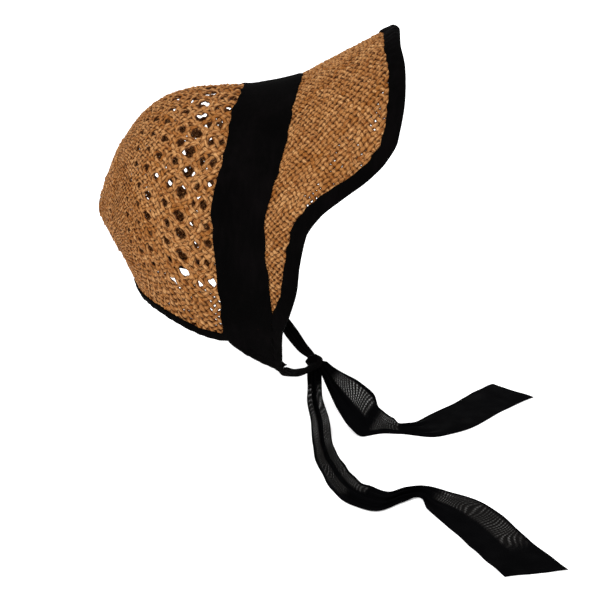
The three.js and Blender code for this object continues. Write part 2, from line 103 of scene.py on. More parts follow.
# Cloth: its own wall, its room over the strands, and where it stops at the lower ends
BINDING_WALL = 1.05
BINDING_ROOM = 1.05
BAND_TRIM_SHARE = 0.3
BINDING_TRIM_SHARE = 0.45
BAND_TIP_LAP = 4
TIP_LAP_FROM = 112
TIP_LAP_TO = 124
PLEATS = 3.1
FINE_PLEATS = 4.3
PLEAT_DEPTH = 2.4
TAIL_STEPS = 260

# Camera and light
CAMERA_AIM = Vector((0, -0.06, -0.175))
CAMERA_DISTANCE = 1.1
CAMERA_ELEVATION = math.radians(20)
CAMERA_LENS = 80


def table(columns, rows):
    """Rows of numbers as a table of named columns."""
    values = np.array(rows, dtype=float)
    return {name: values[:, i] for i, name in enumerate(columns)}


ARCH = table(("angle", "back", "band", "reach", "flare"), (
    (0, 0, 1, 1, 0.94),
    (15, 0.07, 1, 1.02, 0.94),
    (30, 0.18, 1.02, 1.1, 0.92),
    (45, 0.24, 0.99, 1.13, 0.82),
    (55, 0.29, 0.96, 1.12, 0.7),
    (62, 0.36, 0.96, 1.05, 0.59),
    (68, 0.42, 0.95, 0.93, 0.51),
    (75, 0.47, 0.92, 0.73, 0.41),
    (82, 0.49, 0.88, 0.55, 0.33),
    (90, 0.48, 0.84, 0.43, 0.27),
    (98, 0.45, 0.83, 0.35, 0.22),
    (106, 0.41, 0.85, 0.28, 0.18),
    (114, 0.38, 0.86, 0.18, 0.14),
    (122, 0.37, 0.87, 0.09, 0.1),
    (130, 0.37, 0.88, 0.08, 0.06),
    (140, 0.38, 0.88, 0.08, 0.02),
))

CROWN = table(("angle", "shoulder", "back", "pull"), (
    (0, 4, 1.15, 0.02),
    (50, 3.55, 1.25, 0.02),
    (90, 2.6, 1.55, 0),
    (120, 2.5, 1, 0.05),
    (150, 2.6, 0.72, 0.155),
    (180, 2.55, 0.66, 0.142),
))

# Openings in the crown: distance behind the band, width across, and shift as a share of pitch.
# The two rows furthest back are only a slackening of the weave.
LACE_PITCH = 15.5
LACE_REACH = 181
LACE = table(("behind", "size", "shift"), (
    (5.5, 4.2, 0.5),
    (13, 4, 0.5),
    (24.5, 8, 0),
    (34, 4.4, 0.5),
    (49.5, 4.4, 0),
    (60, 3, 0.5),
    (71, 2.6, 0),
))

TAIL_COLUMNS = ("forward", "side", "height", "width", "heading", "lift")
SHORT_TAIL = table(TAIL_COLUMNS, (
    (0.054, 0, 0.905, 0.22, 36, 27),
    (0.14, -0.02, 0.59, 0.5, 34, 40),
    (0.22, -0.03, 0.33, 0.75, 40, 42),
    (0.3, -0.05, 0.13, 0.87, 44, 38),
    (0.36, -0.05, 0, 0.75, 55, 33),
    (0.47, 0, 0.01, 0.57, 65, 12),
    (0.55, -0.04, 0.01, 0.33, 79, 12),
    (0.67, -0.03, 0.01, 0.62, 104, 4),
    (0.8, 0.05, 0, 0.99, 106, 1),
    (0.98, 0.2, 0, 1.14, 109, 0),
    (1.18, 0.43, 0, 1.1, 117, 0),
    (1.36, 0.59, 0, 1.05, 138, 0),
))
LONG_TAIL = table(TAIL_COLUMNS, (
    (0, 0, 0.88, 0.3, 29, 0),
    (0, -0.03, 0.55, 0.35, 24, -3),
    (0.02, -0.09, 0.27, 0.43, 27, -6),
    (0.03, -0.17, 0.05, 0.47, 31, -9),
    (0.06, -0.34, 0.01, 0.48, 7, 14),
    (0.1, -0.48, 0.01, 0.52, 13, 19),
    (0.15, -0.56, 0.01, 0.56, 44, 20),
    (0.22, -0.6, 0.01, 0.51, 55, 22),
    (0.29, -0.55, 0.01, 0.38, 75, 22),
    (0.35, -0.52, 0.01, 0.32, 68, 13),
    (0.41, -0.57, 0, 0.73, 48, 3),
    (0.47, -0.63, 0, 1.04, 46, 1),
    (0.53, -0.73, 0, 1.16, 44, 0),
    (0.59, -0.87, 0, 1.05, 30, 0),
    (0.66, -1.01, 0, 1.11, 11, 0),
))

# Where a tail is one sheer layer: from and to by the tail table's rows, low and high across it
VEIL_COLUMNS = ("start", "stop", "low", "high", "veil")
SHORT_VEIL = table(VEIL_COLUMNS, (
    (0.5, 3.6, 0.45, 0.93, 1),
    (4.0, 6.1, 0.2, 0.95, 1),
))
LONG_VEIL = table(VEIL_COLUMNS, (
    (0.4, 6.2, 0.6, 0.94, 0.9),
    (0.4, 5.6, 0.07, 0.44, 0.9),
    (9.5, 13.2, 0.48, 0.97, 1),
))

STRAP = table(("along", "sag", "width", "lift"), (
    (0.035, 0, 0.6, 20),
    (0.25, 0.3, 0.9, 30),
    (0.55, 0.35, 0.8, 50),
    (0.85, 0.1, 0.6, 75),
    (0.995, 0, 0.5, 85),
))


def read_table(source, key, at, column):
    """A column read smoothly between the rows, without overshooting any row."""
    at = np.asarray(at, dtype=float)
    keys = source[key]
    values = source[column]
    rate = np.diff(values) / np.diff(keys)
    product = rate[:-1] * rate[1:]
    total = np.where(product > 0, rate[:-1] + rate[1:], 1)
    middle = np.where(product > 0, 2 * product / total, 0)
    slope = np.concatenate([rate[:1], middle, rate[-1:]])
    row = np.clip(np.searchsorted(keys, at) - 1, 0, len(keys) - 2)
    span = keys[row + 1] - keys[row]
    s = np.clip((at - keys[row]) / span, 0, 1)
    rise = values[row + 1] - values[row]
    a = slope[row] * span - rise
    b = rise - slope[row + 1] * span
    return values[row] + s * rise + s * (1 - s) * (a * (1 - s) + b * s)


def read_rows(rows, count):
    """Every column of a table at even places from its first row to its last."""
    last = len(next(iter(rows.values()))) - 1
    source = {**rows, "place": np.arange(last + 1.0)}
    place = np.linspace(0, last, count)
    return place, {name: read_table(source, "place", place, name) for name in rows}


def from_top(angle):
    """Angle from the top in degrees, the same on both sides of the arch."""
    return np.degrees(np.arccos(np.clip(np.cos(angle), -1, 1)))


def arch(angle, column):
    return read_table(ARCH, "angle", from_top(angle), column)


def rib(angle, column):
    return read_table(CROWN, "angle", from_top(angle), column)


def lerp(low, high, share):
    return low + (high - low) * share


def smooth(value, low, high):
    """A share from 0 to 1 that eases in and out between two limits."""
    share = np.clip((value - low) / (high - low), 0, 1)
    return share * share * (3 - 2 * share)


def normalised(vectors):
    return vectors / np.maximum(np.linalg.norm(vectors, axis=-1, keepdims=True), 1e-9)


# Places along the arch, as distances ahead of the origin
def band_rear(angle):
    return BAND_LEAD - arch(angle, "back") * BAND_WIDTH


def band_front(angle):
    return band_rear(angle) + arch(angle, "band") * BAND_WIDTH


def brim_edge(angle):
    return band_front(angle) + arch(angle, "reach") * BRIM_LENGTH


def seam(angle):
    return band_rear(angle) + SEAM_LEAD


def arch_point(angle, forward, outward):
    """The arch at one angle, with room outwards for the brim's flare."""
    up = np.cos(angle)
    reach = np.where(up > 0, WIDEST_BELOW_SEAT, BOTTOM_REACH)
    return np.stack([
        (CROWN_HALF_WIDTH + outward) * np.sin(angle),
        -forward + 0 * angle,
        -WIDEST_BELOW_SEAT + (reach + outward) * up,
    ], axis=-1)


def crown_skin(angle, forward):
    """Inner face of the crown: a rib from the weave centre to the seam at each angle."""
    depth = seam(angle) - WEAVE_CENTRE
    along = np.clip((forward - WEAVE_CENTRE) / depth, 0, 1)
    opened = 1 - (1 - along) ** rib(angle, "shoulder")
    spread = opened ** (1 / rib(angle, "back"))
    spread = spread * (1 - rib(angle, "pull") * (1 - along))
    end = arch_point(angle, forward, 0 * angle)
    rest = np.stack([0 * end[..., 0], end[..., 1], 0 * end[..., 2] - WEAVE_CENTRE_BELOW_SEAT], axis=-1)
    return lerp(rest, end, spread[..., None])


def brim_skin(angle, forward):
    """Inner face of the brim, which also carries the band over the seam."""
    flare = arch(angle, "flare")
    under_band = (forward - seam(angle)) / (band_front(angle) - seam(angle))
    beyond = (forward - band_front(angle)) / (brim_edge(angle) - band_front(angle))
    first = FLARE_UNDER_BAND * flare * np.clip(under_band, 0, 1) ** 1.5
    second = (BRIM_FLARE - FLARE_UNDER_BAND) * flare * np.maximum(beyond, 0)
    return arch_point(angle, forward, first + second)


def skin_normal(skin, angle, forward):
    da = math.radians(1.5)
    df = 0.8
    across = skin(angle + da, forward) - skin(angle - da, forward)
    ahead = skin(angle, forward + df) - skin(angle, forward - df)
    return normalised(np.cross(ahead, across))


def off_skin(skin, angle, forward, distance):
    """Points of a skin moved out along the skin's own normal."""
    distance = np.asarray(distance, dtype=float)
    return skin(angle, forward) + skin_normal(skin, angle, forward) * distance[..., None]


def nape_height(forward):
    """Height of the straw's lower edge under the crown."""
    return lerp(-NAPE_FRONT_DROP, -NAPE_BACK_DROP, smooth(-forward, -SEAM_LEAD, NAPE_LEVELLING))


def crown_forward(angle, along):
    return lerp(WEAVE_CENTRE, seam(angle), along)


def where_it_changes(low, high, is_before):
    """Halves intervals until the test changes inside them."""
    for _ in range(40):
        middle = (low + high) / 2
        before = is_before(middle)
        low = np.where(before, middle, low)
        high = np.where(before, high, middle)
    return (low + high) / 2


def is_above_nape(angle, along):
    forward = crown_forward(angle, along)
    return crown_skin(angle, forward)[..., 2] > nape_height(forward)


NAPE_ALONG = float(where_it_changes(np.array(0.0), np.array(1.0),
                                    lambda along: is_above_nape(np.array(math.pi), along)))


def nape_end(along):
    """End angle of the crown's straw at a share of the way from the weave centre to the seam."""
    along = np.asarray(along, dtype=float)
    low = np.full(along.shape, math.radians(90))
    high = np.full(along.shape, math.pi)
    crossing = where_it_changes(low, high, lambda angle: is_above_nape(angle, along))
    return np.where(along <= NAPE_ALONG, math.pi, crossing)


CORNER_ANGLE = float(nape_end(1.0))
CORNER_FORWARD = float(seam(CORNER_ANGLE))
TIP_FORWARD = float(brim_edge(TIP_ANGLE))
BOTTOM_RADIUS = (CROWN_HALF_WIDTH + BOTTOM_REACH) / 2
BOTTOM_SLOPE = BOTTOM_RADIUS * (TIP_ANGLE - CORNER_ANGLE) / (TIP_FORWARD - CORNER_FORWARD)
BAND_TRIM = (NAPE_BINDING_WIDTH + GAP) * math.hypot(1, BOTTOM_SLOPE)


def brim_end(forward):
    """End angle of the brim at a place along its lower ends."""
    share = np.clip((forward - CORNER_FORWARD) / (TIP_FORWARD - CORNER_FORWARD), 0, 1)
    return lerp(CORNER_ANGLE, TIP_ANGLE, share ** 0.8)


def edge_slant(angle):
    """How much longer a width is along the arch lines where the brim's edge runs aslant."""
    da = math.radians(2)
    step = brim_skin(angle + da, brim_edge(angle + da)) - brim_skin(angle - da, brim_edge(angle - da))
    return np.hypot(1, np.abs(step[..., 1]) / np.hypot(step[..., 0], step[..., 2]))


def band_edge(angle):
    """Front edge of the band, short of the brim's binding where the brim is narrow."""
    binding = brim_edge(angle) - BRIM_BINDING_WIDTH * edge_slant(angle)
    return np.minimum(band_front(angle), binding - BAND_CLEARANCE)


def trimmed_angle(column, place_of, trim):
    """Angle of a column from -1 to 1 at a place along the arch, short of the lower ends."""
    end = np.full(np.shape(column), CORNER_ANGLE)
    for _ in range(4):
        end = brim_end(place_of(end))
    return column * (end - trim / BOTTOM_RADIUS)


# Meshes and objects
def add_object(name, data):
    thing = bpy.data.objects.new(name, data)
    bpy.context.scene.collection.objects.link(thing)
    return thing


def place_piece(thing, node, material):
    """Finishes a piece: its material, the body it rides on and the CAD node it stands for."""
    if material is not None:
        thing.data.materials.clear()
        thing.data.materials.append(material)
    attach(thing, "root")
    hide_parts(node)
    return thing


def store(mesh, name, values, kind="FLOAT"):
    """Keeps one value for each vertex under a name that a material or a node tree reads."""
    attribute = mesh.attributes.new(name, kind, "POINT")
    field = "vector" if kind == "FLOAT_VECTOR" else "value"
    attribute.data.foreach_set(field, np.asarray(values, dtype=np.float32).ravel())


def loops_round(outer, inner):
    """Loops round a cloth, from the lines along its outer and its inner face."""
    return np.concatenate([np.array(outer), np.array(inner)[::-1]]).transpose(1, 0, 2)


def lofted(name, loops, **fields):
    """A closed smooth body through loops of points, given in millimetres."""
    stations, sides = loops.shape[:2]
    number = np.arange(stations * sides).reshape(stations, sides)
    after = np.roll(number, -1, axis=1)
    faces = np.stack([number[:-1], after[:-1], after[1:], number[1:]], axis=-1)
    faces = faces.reshape(-1, 4).tolist()
    for cap in (number[0], number[-1]):
        for j in range(sides // 2 - 1):
            faces.append([int(cap[j]), int(cap[j + 1]), int(cap[-2 - j]), int(cap[-1 - j])])
    mesh = bpy.data.meshes.new(name)
    mesh.from_pydata((loops.reshape(-1, 3) * MM).tolist(), [], faces)
    for field, values in fields.items():
        store(mesh, field, values)
    turn_outwards(mesh)
    return add_object(name, mesh)


def polylines(name, points, edges, facing, **fields):
    """Lines to be swept as strands, with what each of their vertices carries."""
    mesh = bpy.data.meshes.new(name)
    mesh.from_pydata((points * MM).tolist(), edges, [])
    store(mesh, "facing", facing, "FLOAT_VECTOR")
    for field, values in fields.items():
        store(mesh, field, values)
    return add_object(name, mesh)


def turn_outwards(mesh):
    work = bmesh.new()
    work.from_mesh(mesh)
    bmesh.ops.recalc_face_normals(work, faces=work.faces)
    work.to_mesh(mesh)
    work.free()
    mesh.polygons.foreach_set("use_smooth", [True] * len(mesh.polygons))


def wander(rng, rows, samples, every):
    """Smooth random walks from about -1 to 1, one for each row."""
    knots = max(int(samples / every) + 2, 3)
    values = rng.uniform(-1, 1, (rows, knots))
    at = np.linspace(0, knots - 1.001, samples)
    low = at.astype(int)
    share = smooth(at - low, 0, 1)
    return lerp(values[:, low], values[:, low + 1], share)


class Ripples:
    """A smooth random field over two lengths in millimetres, from about -1 to 1."""

    def __init__(self, seed, wavelength_x, wavelength_y, waves=9):
        rng = np.random.default_rng(seed)
        turn = rng.uniform(0, 2 * math.pi, waves)
        pace = rng.uniform(0.6, 1.5, waves)
        self.kx = 2 * math.pi * pace * np.cos(turn) / wavelength_x
        self.ky = 2 * math.pi * pace * np.sin(turn) / wavelength_y
        self.phase = rng.uniform(0, 2 * math.pi, waves)

    def __call__(self, x, y):
        x, y = np.broadcast_arrays(x, y)
        waves = np.sin(self.kx * x[..., None] + self.ky * y[..., None] + self.phase)
        return waves.sum(axis=-1) / math.sqrt(len(self.phase))


# Woven places over a skin
class WovenSkin:
    """Places by round, a share of a ring's length, and climb, in ring lengths from the start."""

    def __init__(self, skin, forward_of, rings, angles):
        self.skin = skin
        self.forward_of = forward_of
        self.rings = rings
        self.angles = angles
        ring, angle = np.meshgrid(rings, angles, indexing="ij")
        points = skin(angle, forward_of(angle, ring))
        steps = np.linalg.norm(np.diff(points, axis=1), axis=2)
        travelled = np.concatenate([np.zeros((len(rings), 1)), np.cumsum(steps, axis=1)], axis=1)
        self.lengths = travelled[:, -1]
        self.shares = travelled / self.lengths[:, None] - 0.5
        upper = np.abs(angles) < math.radians(115)
        climbs = np.linalg.norm(np.diff(points, axis=0), axis=2)[:, upper].mean(axis=1)
        climbs = climbs / ((self.lengths[1:] + self.lengths[:-1]) / 2)
        self.climbs = np.concatenate([[0], np.cumsum(climbs)])
        self.rounds = np.linspace(-0.5, 0.5, 721)
        self.angle_rows = np.array([np.interp(self.rounds, row, angles) for row in self.shares])

    def length(self, climb):
        return np.interp(climb, self.climbs, self.lengths)

    def between(self, grid, row, column):
        row = np.clip(row, 0, grid.shape[0] - 1.001)
        column = np.clip(column, 0, grid.shape[1] - 1.001)
        r = row.astype(int)
        c = column.astype(int)
        low = lerp(grid[r, c], grid[r, c + 1], column - c)
        high = lerp(grid[r + 1, c], grid[r + 1, c + 1], column - c)
        return lerp(low, high, row - r)

    def locate(self, around, climb):
        """Angle and distance ahead of the origin of a woven place."""
        row = np.interp(climb, self.climbs, np.arange(len(self.rings)))
        column = (around + 0.5) * (len(self.rounds) - 1)
        angle = self.between(self.angle_rows, row, column)
        ring = np.interp(climb, self.climbs, self.rings)
        return angle, self.forward_of(angle, ring)

    def stretch(self, around, climb):
        """True length of a small climb over the length that the weave takes it to have."""
        small = 0.004
        low = np.clip(climb - small, 0, self.climbs[-1])
        high = np.clip(climb + small, 0, self.climbs[-1])
        here = self.skin(*self.locate(around, low))
        there = self.skin(*self.locate(around, high))
        true = np.linalg.norm(there - here, axis=-1)
        taken = np.maximum((high - low) * self.length(climb), 0.1)
        return np.clip(true / taken, 0.6, 2.5)

    def woven_place(self, angle, ring):
        """The woven place of an angle and a ring."""
        order = np.argsort(self.rings)
        row = np.interp(ring, self.rings[order], order.astype(float))
        column = np.interp(angle, self.angles, np.arange(len(self.angles)))
        around = self.between(self.shares, row, column)
        return around, np.interp(row, np.arange(len(self.rings)), self.climbs)


def crown_weave():
    """The crown's woven places, with rings as shares of the way from the weave centre."""
    rings = 1 - (1 - 0.0008) * np.linspace(0, 1, 420) ** 0.8
    angles = np.linspace(-math.pi, math.pi, 721)
    return WovenSkin(crown_skin, crown_forward, rings, angles)


def brim_weave():
    """The brim's woven places, with rings as distances ahead of the band's front edge."""
    rings = np.linspace(-43, 86, 220)
    angles = np.linspace(-TIP_ANGLE, TIP_ANGLE, 601)
    return WovenSkin(brim_skin, lambda angle, ring: band_front(angle) + ring, rings, angles)


def wrapped(around):
    return (around + 0.5) % 1 - 0.5


def arch_steps(pitch, shift, reach):
    """Angles at even steps along the arch, both ways from the top."""
    fine = np.radians(np.arange(0, 180, 0.25))
    points = arch_point(fine, 0 * fine, 0 * fine)
    travelled = np.concatenate([[0], np.cumsum(np.linalg.norm(np.diff(points, axis=0), axis=1))])
    first = pitch if shift == 0 else pitch * shift
    angles = np.interp(np.arange(first, reach, pitch), travelled, fine)
    return np.concatenate([[0] if shift == 0 else [], angles, -angles])


def behind_band(angle, distance):
    """The place on the crown at one angle whose distance behind the band is given."""
    forward = band_rear(angle) - np.arange(0, 100, 0.5)
    points = crown_skin(np.full(len(forward), angle), forward)
    travelled = np.concatenate([[0], np.cumsum(np.linalg.norm(np.diff(points, axis=0), axis=1))])
    return float(np.interp(distance, travelled, forward))


def lace_openings(weave):
    """Openings as woven places, each in the gap between strands that is nearest.

    Each has a radius and its stretch, the true length of a climb there over the weave's mean.
    """
    rng = np.random.default_rng(WEAVE_SEED + 3)
    openings = []
    for behind, size, shift in zip(LACE["behind"], LACE["size"], LACE["shift"]):
        for angle in arch_steps(LACE_PITCH, shift, LACE_REACH):
            forward = behind_band(angle, behind)
            along = (forward - WEAVE_CENTRE) / (seam(angle) - WEAVE_CENTRE)
            around, climb = weave.woven_place(np.array(angle), along)
            rising = math.floor(CROWN_STRANDS * (around - climb)) + 0.5
            falling = math.floor(CROWN_STRANDS * (around + climb)) + 0.5
            around = (rising + falling) / (2 * CROWN_STRANDS)
            climb = (falling - rising) / (2 * CROWN_STRANDS)
            ease = 1 if size > 6 else rng.uniform(0.75, 1.3)
            openings.append((around, climb, size / 2 * ease, float(weave.stretch(around, climb))))
    return openings


def pushed_aside(weave, around, climb, hand, openings, count):
    """How far strands move round and along the climb to leave the openings free.

    The last result is 1 away from the openings and falls towards them, for the strands' drift.
    """
    round_move = np.zeros(np.broadcast(around, climb).shape)
    climb_move = np.zeros(round_move.shape)
    firm = np.ones(round_move.shape)
    for hole_around, hole_climb, radius, stretch in openings:
        length = float(weave.length(hole_climb))
        pitch = length / (count * math.sqrt(2))
        x = wrapped(around - hole_around) * length
        y = (climb - hole_climb) * length
        aside = (x - hand * y) / math.sqrt(2)
        along = (hand * x + y) / math.sqrt(2)
        clear = radius / math.sqrt(stretch) + 0.45 * pitch
        rim = max(2.6 * pitch, clear + 1.4 * pitch)
        moved = clear + (np.abs(aside) - pitch / 2) * (rim - clear) / (rim - pitch / 2)
        change = np.where(np.abs(aside) < rim, np.sign(aside) * (moved - np.abs(aside)), 0)
        push = change * np.exp(-(along / (0.95 * radius + 0.9 * pitch)) ** 2) / math.sqrt(2)
        round_move += push
        climb_move -= hand * push
        firm *= 1 - 0.9 * np.exp(-(x * x + y * y) / (radius + 1.3 * pitch) ** 2)
    return round_move, climb_move, firm


DRIFTS = (Ripples(81, 300, 300), Ripples(82, 300, 300))


def drift(climb, around, pitch, way):
    """A slackness of the weave that moves both directions of strands together."""
    spread = SLACKNESS_SPREAD
    return SLACKNESS * pitch * DRIFTS[way](climb * spread, wrapped(around) * spread)


def strand_lines(name, weave, count, hand, climbs, ending, first_climb, keep, openings, cover,
                 shelter, seed):
    """A mesh of polylines, one for each strand of one direction.

    Hand is 1 or -1, the direction in which the strands lean. Ending gives the climb at which
    each strand stops, keep says where there is straw, cover is the strands' width as a share
    of their pitch, and the argument after cover is how strongly painted shade darkens their inner side.
    """
    rng = np.random.default_rng(seed)
    samples = len(climbs["at"])
    strand = np.arange(count)
    climb = np.broadcast_to(climbs["at"], (count, samples))
    pairs = climbs["strands"]
    around = strand[:, None] / count + hand * climb
    length = weave.length(climb)
    pitch = length / (pairs * math.sqrt(2))
    aside = 0.11 * pitch * wander(rng, count, samples, 3)
    round_push, climb_push, firm = pushed_aside(weave, around, climb, hand, openings, count)
    round_move = firm * (aside / math.sqrt(2) + drift(climb, around, pitch, 0)) + round_push
    climb_move = firm * (drift(climb, around, pitch, 1) - hand * aside / math.sqrt(2)) + climb_push
    around_moved = wrapped(around + round_move / length)
    climb_moved = climb + climb_move / length
    angle, forward = weave.locate(around_moved, climb_moved)
    stretched = np.sqrt(weave.stretch(wrapped(around), climb))
    size = np.clip(cover * pitch * stretched / STRAND_WIDTH, SMALLEST_STRAND, LARGEST_STRAND)
    size = size * (1 + 0.2 * wander(rng, count, samples, 3))
    wave = hand * np.cos(2 * math.pi * pairs * climb)
    lift = wave * STRAND_THICKNESS * CROSSING_LIFT * size + 0.2 * wander(rng, count, samples, 4)
    skin = weave.skin
    normal = skin_normal(skin, angle, forward)
    points = skin(angle, forward) + normal * (STRAW_WALL / 2 + lift)[..., None]
    along = normalised(np.gradient(points, axis=1))
    side = np.cross(along, normal)
    twist = np.tan(np.radians(STRAND_TWIST) * firm * wander(rng, count, samples, 4))
    facing = normalised(normal + side * twist[..., None])
    reach = np.cumsum(np.linalg.norm(np.diff(points, axis=1, prepend=points[:, :1]), axis=2), axis=1)
    kept = keep(angle, forward, points)
    kept &= (climb <= ending[:, None]) & (climb >= first_climb)
    joined = kept[:, :-1] & kept[:, 1:]
    joined &= np.linalg.norm(np.diff(points, axis=1), axis=2) < 12
    number = np.cumsum(kept.ravel()).reshape(kept.shape) - 1
    edges = np.stack([number[:, :-1][joined], number[:, 1:][joined]], axis=-1)
    tint = np.broadcast_to(rng.uniform(0, 1, (count, 1)), kept.shape)
    reach = reach + strand[:, None] * 37.0
    inner_painted_shades = np.full(int(kept.sum()), shelter)
    return polylines(name, points[kept], edges.tolist(), facing[kept], size=size[kept],
                     tint=tint[kept], reach=reach[kept], lift=wave[kept], shelter=inner_painted_shades)


def climb_samples(weave, sections):
    """Climbs at which strands are sampled, with the number of strands left at each."""
    at = []
    strands = []
    for start, stop, count in sections:
        step = 1 / (2 * count * SAMPLES_PER_CROSSING)
        values = np.arange(start, stop - step / 2, step)
        at.append(values)
        strands.append(np.full(len(values), float(count)))
    return {"at": np.concatenate(at), "strands": np.concatenate(strands)}


def crown_sections(weave):
    """The crown's strands thin out by halves towards the weave centre."""
    sections = []
    start = 0
    count = CROWN_STRANDS
    for _ in range(4):
        finest = FINEST_PITCH * count * math.sqrt(2)
        stop = float(np.interp(-finest, -weave.lengths, weave.climbs))
        stop = round(stop * count / 2) / (count / 2)
        sections.append((start, stop, count))
        start = stop
        count //= 2
    return sections


# Geometry Nodes
def new_tree(name, inputs):
    tree = bpy.data.node_groups.new(name, "GeometryNodeTree")
    tree.interface.new_socket("Geometry", in_out="INPUT", socket_type="NodeSocketGeometry")
    for label, kind in inputs:
        tree.interface.new_socket(label, in_out="INPUT", socket_type=kind)
    tree.interface.new_socket("Geometry", in_out="OUTPUT", socket_type="NodeSocketGeometry")
    return tree


def add_node(tree, kind, settings=None, inputs=None):
    """A node of a tree: its settings are set first, then the values or links of its sockets."""
    node = tree.nodes.new(kind)
    for name, value in (settings or {}).items():
        setattr(node, name, value)
    for name, value in (inputs or {}).items():
        socket = node.inputs[name]
        if isinstance(value, bpy.types.NodeSocket):
            tree.links.new(value, socket)
        else:
            socket.default_value = value
    return node


def named(tree, name, kind):
    node = add_node(tree, "GeometryNodeInputNamedAttribute", {"data_type": kind}, {"Name": name})
    return node.outputs["Attribute"]


def strand_tree():
    """Sweeps a rounded strand along polylines that carry facing and size."""
    tree = new_tree("raffia_strands", (
        ("Thickness", "NodeSocketFloat"),
        ("Width", "NodeSocketFloat"),
        ("Sides", "NodeSocketInt"),
        ("Material", "NodeSocketMaterial"),
    ))
    source = add_node(tree, "NodeGroupInput").outputs
    curve = add_node(tree, "GeometryNodeMeshToCurve", None, {"Mesh": source["Geometry"]})
    facing = named(tree, "facing", "FLOAT_VECTOR")
    turned = add_node(tree, "GeometryNodeSetCurveNormal", {"mode": "FREE"},
                      {"Curve": curve.outputs[0], "Normal": facing})
    circle = add_node(tree, "GeometryNodeCurvePrimitiveCircle", None,
                      {"Resolution": source["Sides"], "Radius": 0.5})
    scale = add_node(tree, "ShaderNodeCombineXYZ", None,
                     {"X": source["Thickness"], "Y": source["Width"], "Z": 1.0})
    profile = add_node(tree, "GeometryNodeTransform", None,
                       {"Geometry": circle.outputs[0], "Scale": scale.outputs[0],
                        "Rotation": (0, 0, math.pi)})
    turn = add_node(tree, "GeometryNodeSplineParameter")
    marked = add_node(tree, "GeometryNodeStoreNamedAttribute",
                      {"data_type": "FLOAT", "domain": "POINT"},
                      {"Geometry": profile.outputs[0], "Name": "turn", "Value": turn.outputs["Factor"]})
    swept = add_node(tree, "GeometryNodeCurveToMesh", None,
                     {"Curve": turned.outputs[0], "Profile Curve": marked.outputs[0],
                      "Scale": named(tree, "size", "FLOAT"), "Fill Caps": True})
    return finish_tree(tree, swept.outputs[0], source["Material"])


def finish_tree(tree, result, material):
    realised = add_node(tree, "GeometryNodeRealizeInstances", None, {"Geometry": result})
    smoothed = add_node(tree, "GeometryNodeSetShadeSmooth", None, {"Geometry": realised.outputs[0]})
    painted = add_node(tree, "GeometryNodeSetMaterial", None,
                       {"Geometry": smoothed.outputs[0], "Material": material})
    add_node(tree, "NodeGroupOutput", None, {"Geometry": painted.outputs[0]})
    return tree


def grown(thing, tree, values):
    """Runs a tree on an object and keeps the result as a plain mesh."""
    modifier = thing.modifiers.new(tree.name, "NODES")
    modifier.node_group = tree
    for item in tree.interface.items_tree:
        if item.in_out == "INPUT" and item.name in values:
            modifier[item.identifier] = values[item.name]
    bpy.context.view_layer.update()
    graph = bpy.context.evaluated_depsgraph_get()
    result = bpy.data.meshes.new_from_object(thing.evaluated_get(graph))
    thing.modifiers.clear()
    thing.data = result
    return thing


# Shader maths
def operator(operation, reflected=False):
    """A method that makes a sum with a number or with another shade."""
    def method(self, other):
        pair = (other, self) if reflected else (self, other)
        return self.maths(operation, *pair)
    return method


class Shade:
    """A shader socket that can be written in sums."""

    def __init__(self, tree, socket):
        self.tree = tree
        self.socket = socket

    def node(self, kind, settings=None, inputs=None, output=0):
        """Any node: its settings first, then the values or links of its sockets."""
        node = self.tree.nodes.new(kind)
        for name, value in (settings or {}).items():
            if name == "stops":
                set_stops(node.color_ramp, value)
            else:
                setattr(node, name, value)
        for name, value in (inputs or {}).items():
            if isinstance(value, Shade):
                self.tree.links.new(value.socket, node.inputs[name])
            else:
                node.inputs[name].default_value = value
        return Shade(self.tree, node.outputs[output])

    def maths(self, operation, first, second):
        return self.node("ShaderNodeMath", {"operation": operation}, {0: first, 1: second})

    __add__ = operator("ADD")
    __radd__ = operator("ADD", reflected=True)
    __sub__ = operator("SUBTRACT")
    __rsub__ = operator("SUBTRACT", reflected=True)
    __mul__ = operator("MULTIPLY")
    __rmul__ = operator("MULTIPLY", reflected=True)
    __pow__ = operator("POWER")

    def sine(self):
        return self.maths("SINE", self, 0.0)

    def clamped(self, low, high):
        return self.node("ShaderNodeMapRange", {"interpolation_type": "SMOOTHSTEP"},
                         {"Value": self, "From Min": low, "From Max": high})

    def attribute(self, name):
        return self.node("ShaderNodeAttribute", {"attribute_name": name}, output="Fac")

    def places(self):
        return self.node("ShaderNodeTexCoord", output="Object")

    def scaled(self, factors):
        return self.node("ShaderNodeVectorMath", {"operation": "MULTIPLY"}, {0: self, 1: factors})

    def noise(self, vector, scale, detail=2.0, roughness=0.5):
        return self.node("ShaderNodeTexNoise", None,
                         {"Vector": vector, "Scale": scale, "Detail": detail, "Roughness": roughness})

    def vector(self, x, y, z):
        return self.node("ShaderNodeCombineXYZ", None, {"X": x, "Y": y, "Z": z})

    def mixed(self, factor, first, second):
        return self.node("ShaderNodeMix", {"data_type": "RGBA"},
                         {"Factor": factor, 6: first, 7: second}, output=2)


def set_stops(ramp, stops):
    while len(ramp.elements) < len(stops):
        ramp.elements.new(1.0)
    for element, (position, colour) in zip(ramp.elements, stops):
        element.position = position
        element.color = colour


def colour(red, green, blue):
    """A colour as the screen shows it, from 0 to 255, as linear light."""
    def linear(value):
        share = value / 255
        return share / 12.92 if share <= 0.04045 else ((share + 0.055) / 1.055) ** 2.4
    return (linear(red), linear(green), linear(blue), 1.0)


def new_material(name, constants):
    """A material with its shader's constant values, and a first shade to write sums from."""
    material = bpy.data.materials.new(name)
    material.use_nodes = True
    tree = material.node_tree
    shader = tree.nodes["Principled BSDF"]
    for socket, value in constants.items():
        shader.inputs[socket].default_value = value
    return material, shader, Shade(tree, None)


def feed(shader, shade, socket):
    shade.tree.links.new(shade.socket, shader.inputs[socket])


